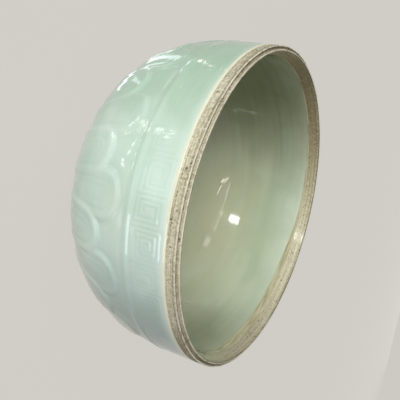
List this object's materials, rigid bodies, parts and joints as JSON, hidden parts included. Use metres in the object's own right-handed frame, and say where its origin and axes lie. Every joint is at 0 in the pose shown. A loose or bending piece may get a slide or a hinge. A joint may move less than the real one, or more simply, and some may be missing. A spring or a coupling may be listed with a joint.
{
  "type": "covered vessel half",
  "caption": "Deep round half of a covered vessel in green-glazed porcelain, with a bare stepped lip, moulded petals and a low foot ring.",
  "frame": {"origin": "middle of the circle that the foot ring stands on", "axes": "+Z along the turning axis, out of the mouth; a turned form with no front, and -Y is the side that the picture shows"},
  "size_m": [0.1266, 0.1266, 0.0728],
  "materials": {
    "clay": "bare fired clay, matt",
    "outer_glaze": "glossy",
    "inner_glaze": "glossy",
    "foot_glaze": "glossy"
  },
  "bodies": {
    "root": {"porcelain_body": "clay", "outer_glaze": "outer_glaze", "inner_glaze": "inner_glaze", "foot_glaze": "foot_glaze"}
  },
  "joints": []
}
